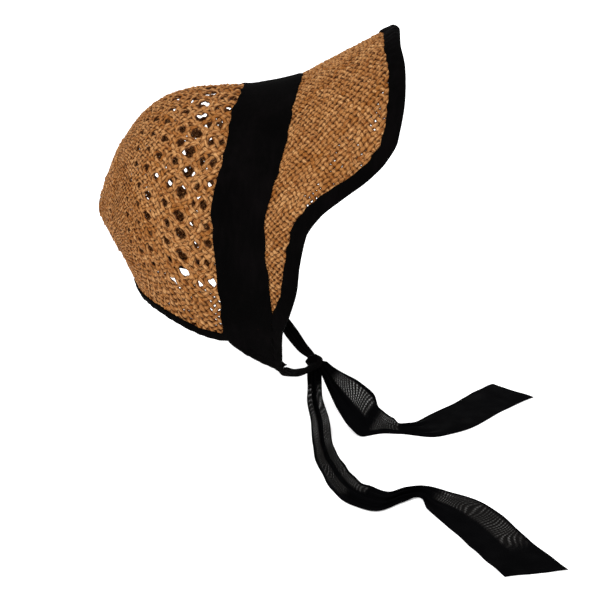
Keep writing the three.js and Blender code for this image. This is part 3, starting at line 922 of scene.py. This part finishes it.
def bumped(shade, height, distance, strength=1.0):
    return shade.node("ShaderNodeBump", None,
                      {"Height": height, "Distance": distance, "Strength": strength})


def raffia_material():
    """Crumpled raffia: fibres along the strand, warm tan with browner and paler strands, painted
    highlights on their crowns and painted shade at their sides and crossings.
    """
    material, shader, s = new_material("raffia", {"Specular IOR Level": 0.06})
    reach = s.attribute("reach")
    turn = s.attribute("turn")
    tint = s.attribute("tint")
    lift = s.attribute("lift")
    # Painted shade: the inner side of each strand is darkened towards the gap colour, more on the crown
    # than on the brim
    inner = 1 - (turn * math.pi).sine()
    inner_painted_shading = inner.clamped(0.25, 0.75) * s.attribute("shelter")
    fibres = s.noise(s.vector(reach * 0.2, turn * 9.0, tint * 50.0), 1.0, 3.0, 0.6)
    crumple = s.noise(s.vector(reach * 0.5, turn * 3.0, tint * 31.0), 1.0, 2.0)
    blotch = s.noise(s.places(), 38.0, 2.0)
    patch = s.noise(s.vector(reach * 0.12, tint * 71.0, 0.0), 1.0, 1.0)
    warmth = (tint * 0.3 + patch * 0.5 + blotch * 0.35).clamped(0.25, 0.9)
    brown = colour(138, 88, 39)
    tan = colour(183, 138, 90)
    streak = colour(106, 56, 15)
    # Dark brown of painted shade, for the gaps and the shaded sides of the strands
    painted_gap_shade = colour(50, 15, 0)
    streaked = s.mixed(fibres.clamped(0.3, 0.65), streak, s.mixed(warmth, brown, tan))
    # Painted light: brighter along the crown of each strand's section, darker on its sides
    painted_crown_highlight = (turn * (4 * math.pi) + math.pi / 2).sine() * 0.5 + 0.5
    # Painted shade where a strand dips between the strands that it crosses
    crossing = 1 - lift * lift
    # How much painted light or painted shade each place gets, from the gap shade up to the strand's own
    # colour
    light = (painted_crown_highlight * 0.65 + 0.5 - crossing * 0.42).clamped(0.0, 0.9)
    shown = s.mixed(light * (1 - inner_painted_shading), painted_gap_shade, streaked)
    feed(shader, shown, "Base Color")
    feed(shader, 0.5 + fibres * 0.3, "Roughness")
    height = fibres * 0.5 + crumple * 0.9
    feed(shader, bumped(s, height, 0.0012), "Normal")
    return material


def black_cloth_material():
    """Matt black cloth with a fine plain weave, dust-soft in faint random clouds."""
    material, shader, s = new_material("black_cotton", {"Specular IOR Level": 0.02})
    places = s.places()
    weft = s.node("ShaderNodeTexWave", {"bands_direction": "Z"},
                  {"Vector": places, "Scale": 420.0, "Distortion": 1.2, "Detail": 1.0})
    warp = s.node("ShaderNodeTexWave", {"bands_direction": "Y"},
                  {"Vector": places, "Scale": 420.0, "Distortion": 1.2, "Detail": 1.0})
    slub = s.noise(places.scaled((1.0, 1.0, 0.2)), 260.0, 2.0)
    cloud = s.noise(places, 30.0, 3.0)
    shown = s.mixed((cloud * 0.6 + slub * 0.4).clamped(0.35, 0.75),
                    (0.0004, 0.0003, 0.0003, 1.0), (0.0016, 0.0012, 0.0013, 1.0))
    feed(shader, shown, "Base Color")
    feed(shader, 0.82 + slub * 0.16, "Roughness")
    feed(shader, bumped(s, weft * 0.3 + warp * 0.3 + slub * 0.5, 0.0002, 0.6), "Normal")
    return material


def ribbon_material():
    """Sheer black ribbon: one layer shows a moire of fine lines, doubled cloth is opaque."""
    material, shader, s = new_material("sheer_black", {"Specular IOR Level": 0.012})
    places = s.places()
    veil = s.attribute("veil")
    length = s.attribute("length")
    across = s.attribute("across")
    swirl = s.noise(places, 24.0, 1.0, 0.4)
    lines = (length * 2.1 + swirl * 100.0 + across * 20.0).sine() * 0.5 + 0.5
    threads = (length * 2.5 + swirl * 16.0).sine() * 0.5 + 0.5
    crossing = (across * 105.0 + swirl * 40.0).sine() * 0.5 + 0.5
    cloud = s.noise(places, 60.0, 2.0).clamped(0.3, 0.7)
    pattern = lines ** 2.5 * (0.5 + 0.5 * crossing) * (0.5 + 0.5 * cloud)
    open_weave = veil * (0.03 + pattern * 0.42 + threads * crossing * 0.08)
    shown = s.mixed(veil * (0.15 + pattern * 0.85), (0.0006, 0.0006, 0.0008, 1.0),
                    (0.022, 0.0205, 0.0185, 1.0))
    feed(shader, shown, "Base Color")
    feed(shader, 1 - open_weave, "Alpha")
    feed(shader, 0.62 + cloud * 0.2, "Roughness")
    grain = threads * crossing + s.noise(places, 700.0, 1.0)
    feed(shader, bumped(s, grain, 0.00012, 0.5), "Normal")
    return material


def floor_material():
    material, shader, s = new_material("pale_floor", {
        "Roughness": 0.9, "Specular IOR Level": 0.1,
        "Emission Color": (1.0, 1.0, 1.0, 1.0), "Emission Strength": 0.3,
    })
    cloud = s.noise(s.places(), 3.0, 2.0)
    feed(shader, s.mixed(cloud, (0.93, 0.93, 0.93, 1.0), (0.95, 0.95, 0.95, 1.0)), "Base Color")
    return material


# Straw
def crown_straw(material, tree):
    """The crown's weave: two directions of strands, and the finer strands round the centre."""
    weave = crown_weave()
    sections = crown_sections(weave)
    openings = lace_openings(weave)
    climbs = climb_samples(weave, sections)
    outer_climb = sections[0][1]
    overlap = 0.004
    ending = np.full(CROWN_STRANDS, outer_climb + overlap)
    for step, (_, stop, _) in zip((2, 4, 8), sections[1:]):
        ending[::step] = stop
    outer_end = np.minimum(ending, outer_climb + overlap)
    parts = (("crown_weave_", outer_end, 0, CROWN_COVER),
             ("crown_centre_", ending, outer_climb, CENTRE_COVER))

    def keep(angle, forward, points):
        return points[..., 2] > nape_height(forward)

    pieces = []
    for hand, label in HANDS:
        for part, stops, first_climb, cover in parts:
            lines = strand_lines(part + label, weave, CROWN_STRANDS, hand, climbs, stops,
                                 first_climb, keep, openings, cover, CROWN_INNER_PAINTED_SHADE, WEAVE_SEED + hand)
            pieces.append(lines)
    pieces.append(centre_button())
    for piece in pieces:
        grow_strands(piece, tree, material)
        place_piece(piece, "crown", None)


def centre_button():
    """The coil that closes the weave at its centre."""
    turns = np.linspace(0.15, 3.4, 90)
    radius = 2.1 * turns
    bearing = turns * 2 * math.pi
    points = np.stack([
        radius * np.sin(bearing),
        -WEAVE_CENTRE + 2.3 - 0.05 * radius ** 1.6,
        -WEAVE_CENTRE_BELOW_SEAT + radius * np.cos(bearing),
    ], axis=-1)
    count = len(points)
    edges = [(i, i + 1) for i in range(count - 1)]
    facing = np.tile([0.0, 1.0, 0.0], (count, 1))
    return polylines("crown_button", points, edges, facing, size=np.full(count, 0.66),
                     tint=np.full(count, 0.4), reach=np.cumsum(np.full(count, 0.8)),
                     lift=np.full(count, 0.7), shelter=np.full(count, CROWN_INNER_PAINTED_SHADE))


def grow_strands(piece, tree, material):
    grown(piece, tree, {
        "Thickness": STRAND_THICKNESS * MM,
        "Width": STRAND_WIDTH * MM,
        "Sides": STRAND_SIDES,
        "Material": material,
    })


def brim_straw(material, tree):
    """The brim's weave from the seam under the band to the fold of the binding."""
    weave = brim_weave()
    last = float(weave.climbs[-1]) - 0.002
    climbs = climb_samples(weave, [(0, last, BRIM_STRANDS)])
    ending = np.full(BRIM_STRANDS, last)

    def keep(angle, forward, points):
        edge = brim_edge(angle) - BRIM_BINDING_WIDTH / 2 * edge_slant(angle)
        inside = (forward > seam(angle) + GAP) & (forward < edge)
        inside &= (np.abs(angle) < TIP_STRAW_END) | (forward < band_edge(angle) - 3)
        clear = np.where(forward > seam(angle) + 6, TIP_STRAW_CLEAR / BOTTOM_RADIUS, 0)
        return inside & (np.abs(angle) < brim_end(forward) - clear)

    for hand, label in HANDS:
        lines = strand_lines("brim_weave_" + label, weave, BRIM_STRANDS, hand, climbs,
                             ending, 0, keep, [], BRIM_COVER, BRIM_INNER_PAINTED_SHADE, WEAVE_SEED + 10 + hand)
        grow_strands(lines, tree, material)
        place_piece(lines, "brim", None)


# Cloth
def rounded_edges(share, width, wall):
    """Half the thickness of a cloth across its width, round at its two edges."""
    from_edge = np.minimum(share, 1 - share) * width
    dip = 1 - np.clip(from_edge / wall, 0, 1)
    return wall / 2 * np.sqrt(np.maximum(1 - dip ** 2, 0.06))


def band_cloth(material):
    """The broad band: smooth cloth over the seam, with soft ripples and wavy folded edges."""
    columns = np.linspace(-1, 1, 441)
    shares = np.concatenate([[0, 0.006, 0.015], np.linspace(0.03, 0.97, 30), [0.985, 0.994, 1]])
    width = BAND_WIDTH * 0.9
    edge_wave = Ripples(31, 16, 16)
    swell = Ripples(32, 60, 26)
    pucker = Ripples(33, 11, 30)
    outer = []
    inner = []
    for share in shares:
        def place_of(angle, share=share):
            around = angle * 100
            rear = band_rear(angle) + 0.5 * edge_wave(around, 0.0)
            tip = smooth(from_top(angle), TIP_LAP_FROM, TIP_LAP_TO)
            lap = BAND_CLEARANCE + BAND_TIP_LAP * tip
            front = band_edge(angle) + lap + 0.5 * edge_wave(around, 90.0)
            return lerp(rear, front, share)
        angle = trimmed_angle(columns, place_of, BAND_TRIM_SHARE * BAND_TRIM)
        forward = place_of(angle)
        half = rounded_edges(np.full(columns.shape, share), width, 1.1)
        near_edge = 1 - smooth(min(share, 1 - share) * width, 0, 9)
        relief = 0.22 * swell(angle * 100, forward) + 0.16 * near_edge * pucker(angle * 100, forward)
        middle = STRAW_WALL + GAP + 0.75 + np.maximum(relief, -0.2)
        outer.append(off_skin(brim_skin, angle, forward, middle + half))
        inner.append(off_skin(brim_skin, angle, forward, middle - half))
    place_piece(lofted("band_cloth", loops_round(outer, inner)), "band", material)


def fold_profile(width, steps=7):
    """A binding's section as reaches in from the fold and heights, out and back, rounded."""
    half = STRAW_WALL / 2 + BINDING_ROOM + BINDING_WALL
    within = half - BINDING_WALL
    outer = []
    inner = []

    def add_side(shares, side):
        for share in shares:
            reach = lerp(width, half, share)
            ease = 0.45 * (1 - share) ** 1.5
            outer.append((reach, side * (half - ease)))
            inner.append((reach, side * (half - ease - BINDING_WALL)))

    add_side(np.linspace(0, 1, steps), 1)
    for turn in np.linspace(0, math.pi, 11)[1:-1]:
        outer.append((half - half * math.sin(turn), half * math.cos(turn)))
        inner.append((half - within * math.sin(turn), within * math.cos(turn)))
    add_side(np.linspace(1, 0, steps), -1)
    return np.array(outer), np.array(inner)


def binding_loops(place, stations, width, seed):
    """Loops of a folded binding: place gives a point for reaches and heights at all stations."""
    outer, inner = fold_profile(width)
    hem = Ripples(seed, 14, 20)
    pucker = Ripples(seed + 1, 9, 12)
    profile = np.concatenate([outer, inner[::-1]])
    is_outer = np.concatenate([np.ones(len(outer)), np.zeros(len(inner))])
    loops = []
    for (reach, height), skin in zip(profile, is_outer):
        hemmed = smooth(reach, width * 0.4, width)
        side = 70.0 if height < 0 else 0.0
        waved = reach + 0.45 * hemmed * hem(stations, side)
        puffed = 1 + 0.1 * skin * pucker(stations, reach * 1.0 + side)
        loops.append(place(waved, STRAW_WALL / 2 + height * puffed))
    return np.array(loops).transpose(1, 0, 2)


def brim_binding_cloth(material):
    """Cloth folded over the brim's front edge."""
    columns = np.linspace(-1, 1, 521)
    stations = columns * 330

    def place(reach, height):
        def place_of(angle):
            return brim_edge(angle) - reach * edge_slant(angle)
        angle = trimmed_angle(columns, place_of, BINDING_TRIM_SHARE * BAND_TRIM)
        return off_skin(brim_skin, angle, place_of(angle), height)

    loops = binding_loops(place, stations, BRIM_BINDING_WIDTH, 41)
    place_piece(lofted("brim_fold", loops), "brim_binding", material)


def nape_stations():
    """Angles, places and skins along the lower edge, from one tip round the nape to the other."""
    forward = lerp(CORNER_FORWARD, TIP_FORWARD, np.linspace(1, 0.02, 60))
    brim = {"skin": brim_skin, "angle": brim_end(forward), "forward": forward}
    along = lerp(NAPE_ALONG, 1, np.linspace(1, 0, 130) ** 1.8)[:-1]
    angle = nape_end(along)
    crown = {"skin": crown_skin, "angle": angle, "forward": crown_forward(angle, along)}
    back = {"skin": crown_skin, "angle": np.array([math.pi]),
            "forward": crown_forward(np.array([math.pi]), NAPE_ALONG)}
    other_crown = {**crown, "angle": -crown["angle"][::-1], "forward": crown["forward"][::-1]}
    other_brim = {**brim, "angle": -brim["angle"][::-1], "forward": brim["forward"][::-1]}
    return [brim, crown, back, other_crown, other_brim]


def in_from_edge(part, edge_direction, reach, height):
    """Points in from the edge by a reach, square to the edge and along the skin, at a height."""
    skin, angle, forward = part["skin"], part["angle"], part["forward"]
    da = 0.01
    df = 0.5
    across = (skin(angle + da, forward) - skin(angle - da, forward)) / (2 * da)
    ahead = (skin(angle, forward + df) - skin(angle, forward - df)) / (2 * df)
    normal = normalised(np.cross(ahead, across))
    inward = normalised(np.cross(normal, edge_direction)) * np.asarray(reach)[..., None]
    aa = (across * across).sum(axis=-1)
    ff = (ahead * ahead).sum(axis=-1)
    af = (across * ahead).sum(axis=-1)
    ia = (inward * across).sum(axis=-1)
    jf = (inward * ahead).sum(axis=-1)
    turn = (ia * ff - jf * af) / (aa * ff - af * af)
    move = (jf * aa - ia * af) / (aa * ff - af * af)
    return off_skin(skin, angle + turn, forward + move, height)


def nape_binding_cloth(material):
    """Cloth folded over the straw's lower edge, from one tip round the nape to the other."""
    parts = nape_stations()
    edge = np.concatenate([part["skin"](part["angle"], part["forward"]) for part in parts])
    edge_direction = normalised(np.gradient(edge, axis=0))
    steps = np.linalg.norm(np.diff(edge, axis=0), axis=1)
    stations = np.concatenate([[0], np.cumsum(steps)])
    cuts = np.cumsum([len(part["angle"]) for part in parts])[:-1]

    def place(reach, height):
        lines = (edge_direction, reach - CLOTH_WALL - GAP, height)
        pieces = zip(parts, *(np.split(line, cuts) for line in lines))
        return np.concatenate([in_from_edge(*piece) for piece in pieces])

    loops = binding_loops(place, stations, NAPE_BINDING_WIDTH, 51)
    place_piece(lofted("nape_fold", loops), "nape_binding", material)


# Ribbon
def direction(heading, lift):
    level = np.cos(np.radians(lift))
    return np.stack([
        np.sin(np.radians(heading)) * level,
        -np.cos(np.radians(heading)) * level,
        np.sin(np.radians(lift)),
    ], axis=-1)


def tail_stations(rows, reach):
    """Places by row, middles, directions across and widths of a tail, led into the knot."""
    place, read = read_rows(rows, TAIL_STEPS + 1)
    rise = np.abs(np.sin(np.radians(read["lift"]))) * read["width"] * RIBBON_WIDTH / 2
    middle = np.stack([
        read["side"] * reach,
        KNOT_CENTRE[1] - read["forward"] * reach,
        FLOOR + 0.6 + read["height"] * TAIL_FALL + rise,
    ], axis=-1)
    across = direction(read["heading"], read["lift"])
    lead = np.linspace(0, 1, 12)[:-1]
    into_knot = lerp(KNOT_CENTRE, middle[0], lead[:, None])
    middle = np.concatenate([into_knot, middle])
    across = np.concatenate([np.repeat(across[:1], len(lead), axis=0), across])
    width = np.concatenate([read["width"][0] * (0.35 + 0.65 * lead), read["width"]])
    return np.concatenate([0 * lead, place]), middle, across, width


def veil_over(rows, place, across):
    """How far the ribbon is a single sheer layer, from 0 to 1, over its length and width."""
    veil = np.zeros(np.broadcast(place, across).shape)
    for start, stop, low, high, amount in zip(*(rows[name] for name in VEIL_COLUMNS)):
        along = smooth(place, start, start + 0.5) * (1 - smooth(place, stop - 0.5, stop))
        wide = smooth(across, low, low + 0.07) * (1 - smooth(across, high - 0.05, high))
        veil = np.maximum(veil, amount * along * wide)
    return veil


def ribbon_tail(name, rows, veil_rows, reach, node, material, seed):
    """A tail of the ribbon: a thin cloth that narrows in lengthwise pleats and lies in waves."""
    place, middle, across, width = tail_stations(rows, reach)
    shares = np.concatenate([[0, 0.004, 0.012], np.linspace(0.025, 0.975, 38), [0.988, 0.996, 1]])
    along = normalised(np.gradient(middle, axis=0))
    face = normalised(np.cross(along, across))
    steps = np.linalg.norm(np.diff(middle, axis=0), axis=1)
    travelled = np.concatenate([[0], np.cumsum(steps)])
    hem = Ripples(seed, 34, 30)
    wave = Ripples(seed + 1, 40, 30)
    slack = np.clip(1 - width, 0, 0.75)
    outer = []
    inner = []
    for share in shares:
        wide = width * RIBBON_WIDTH * (share - 0.5)
        edge_wave = 0.35 * hem(travelled, 80.0 * share) * abs(2 * share - 1)
        pleat = np.cos(2 * math.pi * (PLEATS * share + 0.13) + 0.02 * travelled)
        pleat = pleat + 0.5 * np.cos(2 * math.pi * (FINE_PLEATS * share) - 0.03 * travelled)
        relief = PLEAT_DEPTH * slack * pleat + 0.35 * wave(travelled, share * RIBBON_WIDTH)
        line = middle + across * (wide + edge_wave)[:, None] + face * relief[:, None]
        half = float(rounded_edges(np.array(share), RIBBON_WIDTH, 0.34)) + 0.02
        outer.append(line + face * half)
        inner.append(line - face * half)
    loops = loops_round(outer, inner)
    lowest = FLOOR + 0.12 + 0.3 * np.repeat([1, 0], [len(shares), len(shares)])
    loops[..., 2] = np.maximum(loops[..., 2], lowest[None, :])
    both = np.concatenate([shares, shares[::-1]])
    veil = veil_over(veil_rows, place[:, None], both[None, :])
    fields = {
        "veil": veil,
        "across": np.broadcast_to(both[None, :], veil.shape),
        "length": np.broadcast_to(travelled[:, None], veil.shape),
    }
    tail = lofted(name, loops, **fields)
    place_piece(tail, node, material)


def chin_strap(name, side, node, material):
    """The gathered ribbon from the bonnet's tip to the knot."""
    tip = brim_skin(np.array(TIP_ANGLE), np.array(TIP_FORWARD))
    knot_side = KNOT_CENTRE + np.array([KNOT_SIZE[0] / 2 + GAP, 0, 0])
    place, read = read_rows(STRAP, 90)
    reach = read["along"] * 1.12 - 0.05
    middle = lerp(tip, knot_side, reach[:, None])
    middle[:, 2] -= read["sag"] * STRAP_WIDTH
    across = direction(0 * read["lift"], read["lift"])
    along = normalised(np.gradient(middle, axis=0))
    face = normalised(np.cross(along, across))
    width = read["width"] * STRAP_WIDTH
    outer = []
    inner = []
    for share in np.linspace(0, 1, 31):
        lean = share * 2 * math.pi
        gather = 0.45 * np.cos(4 * lean + 0.5 * place) + 0.25 * np.cos(7 * lean - 0.9 * place)
        bulge = 0.75 * math.sqrt(max(1 - (2 * share - 1) ** 2, 0.0)) + 0.12
        line = middle + across * (width * (share - 0.5))[:, None]
        outer.append(line + face * (bulge + gather * bulge)[:, None])
        inner.append(line - face * (bulge - gather * bulge * 0.6)[:, None])
    loops = loops_round(outer, inner)
    loops[..., 0] *= side
    place_piece(lofted(name, loops), node, material)


def ribbon_knot(material):
    """The tie: two soft turns of ribbon over one another, creased where they cross."""
    turns = np.linspace(0, 2 * math.pi, 73)[:-1]
    rings = np.linspace(0.0, 1.0, 49)
    polar = rings * math.pi
    around, down = np.meshgrid(turns, polar)
    level = np.sin(down)
    crease = 0.055 * np.cos(7 * around + 3.2 * np.cos(down)) * level
    wrap = 0.09 * np.exp(-((np.cos(down) + 0.25 * np.sin(around)) / 0.3) ** 2)
    radius = 0.46 + crease * 0.5 + wrap * 0.6
    ball = np.stack([np.cos(down), level * np.cos(around), level * np.sin(around)], axis=-1)
    loops = ball * radius[..., None] * KNOT_SIZE + KNOT_CENTRE
    mesh = bpy.data.meshes.new("ribbon_knot")
    stations, sides = loops.shape[:2]
    inner = loops[1:-1].reshape(-1, 3)
    ends = np.array([loops[0].mean(axis=0), loops[-1].mean(axis=0)])
    verts = np.concatenate([inner, ends])
    number = np.arange(len(inner)).reshape(stations - 2, sides)
    after = np.roll(number, -1, axis=1)
    quads = np.stack([number[:-1], after[:-1], after[1:], number[1:]], axis=-1).reshape(-1, 4).tolist()
    first = [[len(inner), int(b), int(a)] for a, b in zip(number[0], after[0])]
    last = [[len(inner) + 1, int(a), int(b)] for a, b in zip(number[-1], after[-1])]
    mesh.from_pydata((verts * MM).tolist(), [], quads + first + last)
    turn_outwards(mesh)
    place_piece(add_object("ribbon_knot", mesh), "knot", material)


# Setting
def pale_floor():
    mesh = bpy.data.meshes.new("floor")
    size = 6.0
    low = FLOOR * MM
    corners = [(-size, -size, low), (size, -size, low), (size, size, low), (-size, size, low)]
    mesh.from_pydata(corners, [], [(0, 1, 2, 3)])
    mesh.materials.append(floor_material())
    add_object("floor", mesh)


def high_sun(name, towards, softness, power):
    """A broad distant light, given by the direction towards it."""
    lamp = bpy.data.lights.new(name, "SUN")
    lamp.angle = math.radians(softness)
    lamp.energy = power
    thing = add_object(name, lamp)
    thing.rotation_euler = (-Vector(towards)).to_track_quat("-Z", "Y").to_euler()


def studio():
    world = bpy.data.worlds.new("studio")
    bpy.context.scene.world = world
    world.use_nodes = True
    background = world.node_tree.nodes["Background"]
    background.inputs["Color"].default_value = (1.0, 1.0, 1.0, 1.0)
    background.inputs["Strength"].default_value = 0.7
    high_sun("key", (-0.7, 0.2, 0.7), 26, 3.2)
    high_sun("top", (0.1, -0.4, 0.9), 50, 0.7)
    bpy.context.scene.view_settings.view_transform = "Standard"


def camera():
    lens = bpy.data.cameras.new("camera")
    lens.lens = CAMERA_LENS
    lens.sensor_width = 36
    lens.clip_start = 0.01
    thing = add_object("camera", lens)
    back = Vector((-math.cos(CAMERA_ELEVATION), 0, math.sin(CAMERA_ELEVATION)))
    thing.location = CAMERA_AIM + back * CAMERA_DISTANCE
    thing.rotation_euler = (-back).to_track_quat("-Z", "Y").to_euler()
    bpy.context.scene.camera = thing


def main():
    camera()
    studio()
    pale_floor()
    raffia = raffia_material()
    cloth = black_cloth_material()
    ribbon = ribbon_material()
    strands = strand_tree()
    crown_straw(raffia, strands)
    brim_straw(raffia, strands)
    band_cloth(cloth)
    brim_binding_cloth(cloth)
    nape_binding_cloth(cloth)
    chin_strap("strap_right", -1, "chin_strap_right", cloth)
    chin_strap("strap_left", 1, "chin_strap_left", cloth)
    ribbon_knot(cloth)
    ribbon_tail("ribbon_short", SHORT_TAIL, SHORT_VEIL, SHORT_TAIL_REACH, "tail_short",
                ribbon, 61)
    ribbon_tail("ribbon_long", LONG_TAIL, LONG_VEIL, LONG_TAIL_REACH, "tail_long",
                ribbon, 71)


main()
